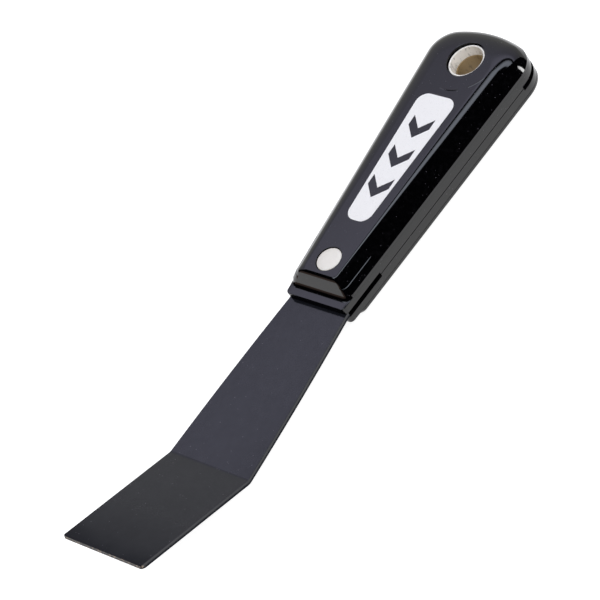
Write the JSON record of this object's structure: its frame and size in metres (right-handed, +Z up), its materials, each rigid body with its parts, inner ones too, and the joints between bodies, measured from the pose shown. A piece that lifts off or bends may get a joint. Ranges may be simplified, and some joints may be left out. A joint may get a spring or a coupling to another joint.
{
  "type": "bent floor scraper",
  "caption": "Hand scraper for floors: a stiff flat steel blade bent up near its tip, riveted full-tang between two moulded scales with a metal-lined hanging hole.",
  "frame": {"origin": "on the surface the tool rests on, under the middle of its length and on its middle plane", "axes": "+X runs from the cutting edge to the butt of the handle, +Z is up out of the handle's upper face, and +Y completes the right-handed frame across the blade"},
  "size_m": [0.1952, 0.0368, 0.0249],
  "materials": {
    "coated_steel": "satin black coating on stiff tool steel",
    "black_nylon": "polished moulded black",
    "nickel_rivet": "satin nickel plate",
    "nickel_eyelet": "drawn tube, nickel plated, with fine streaks",
    "white_print": "thin printed ink"
  },
  "bodies": {
    "root": {"blade": "coated_steel", "top_scale": "black_nylon", "bottom_scale": "black_nylon", "front_rivet_sleeve": "nickel_rivet", "front_rivet_pin": "nickel_rivet", "hang_eyelet_sleeve": "nickel_eyelet", "hang_eyelet_tube": "nickel_eyelet", "label_print": "white_print"}
  },
  "joints": []
}
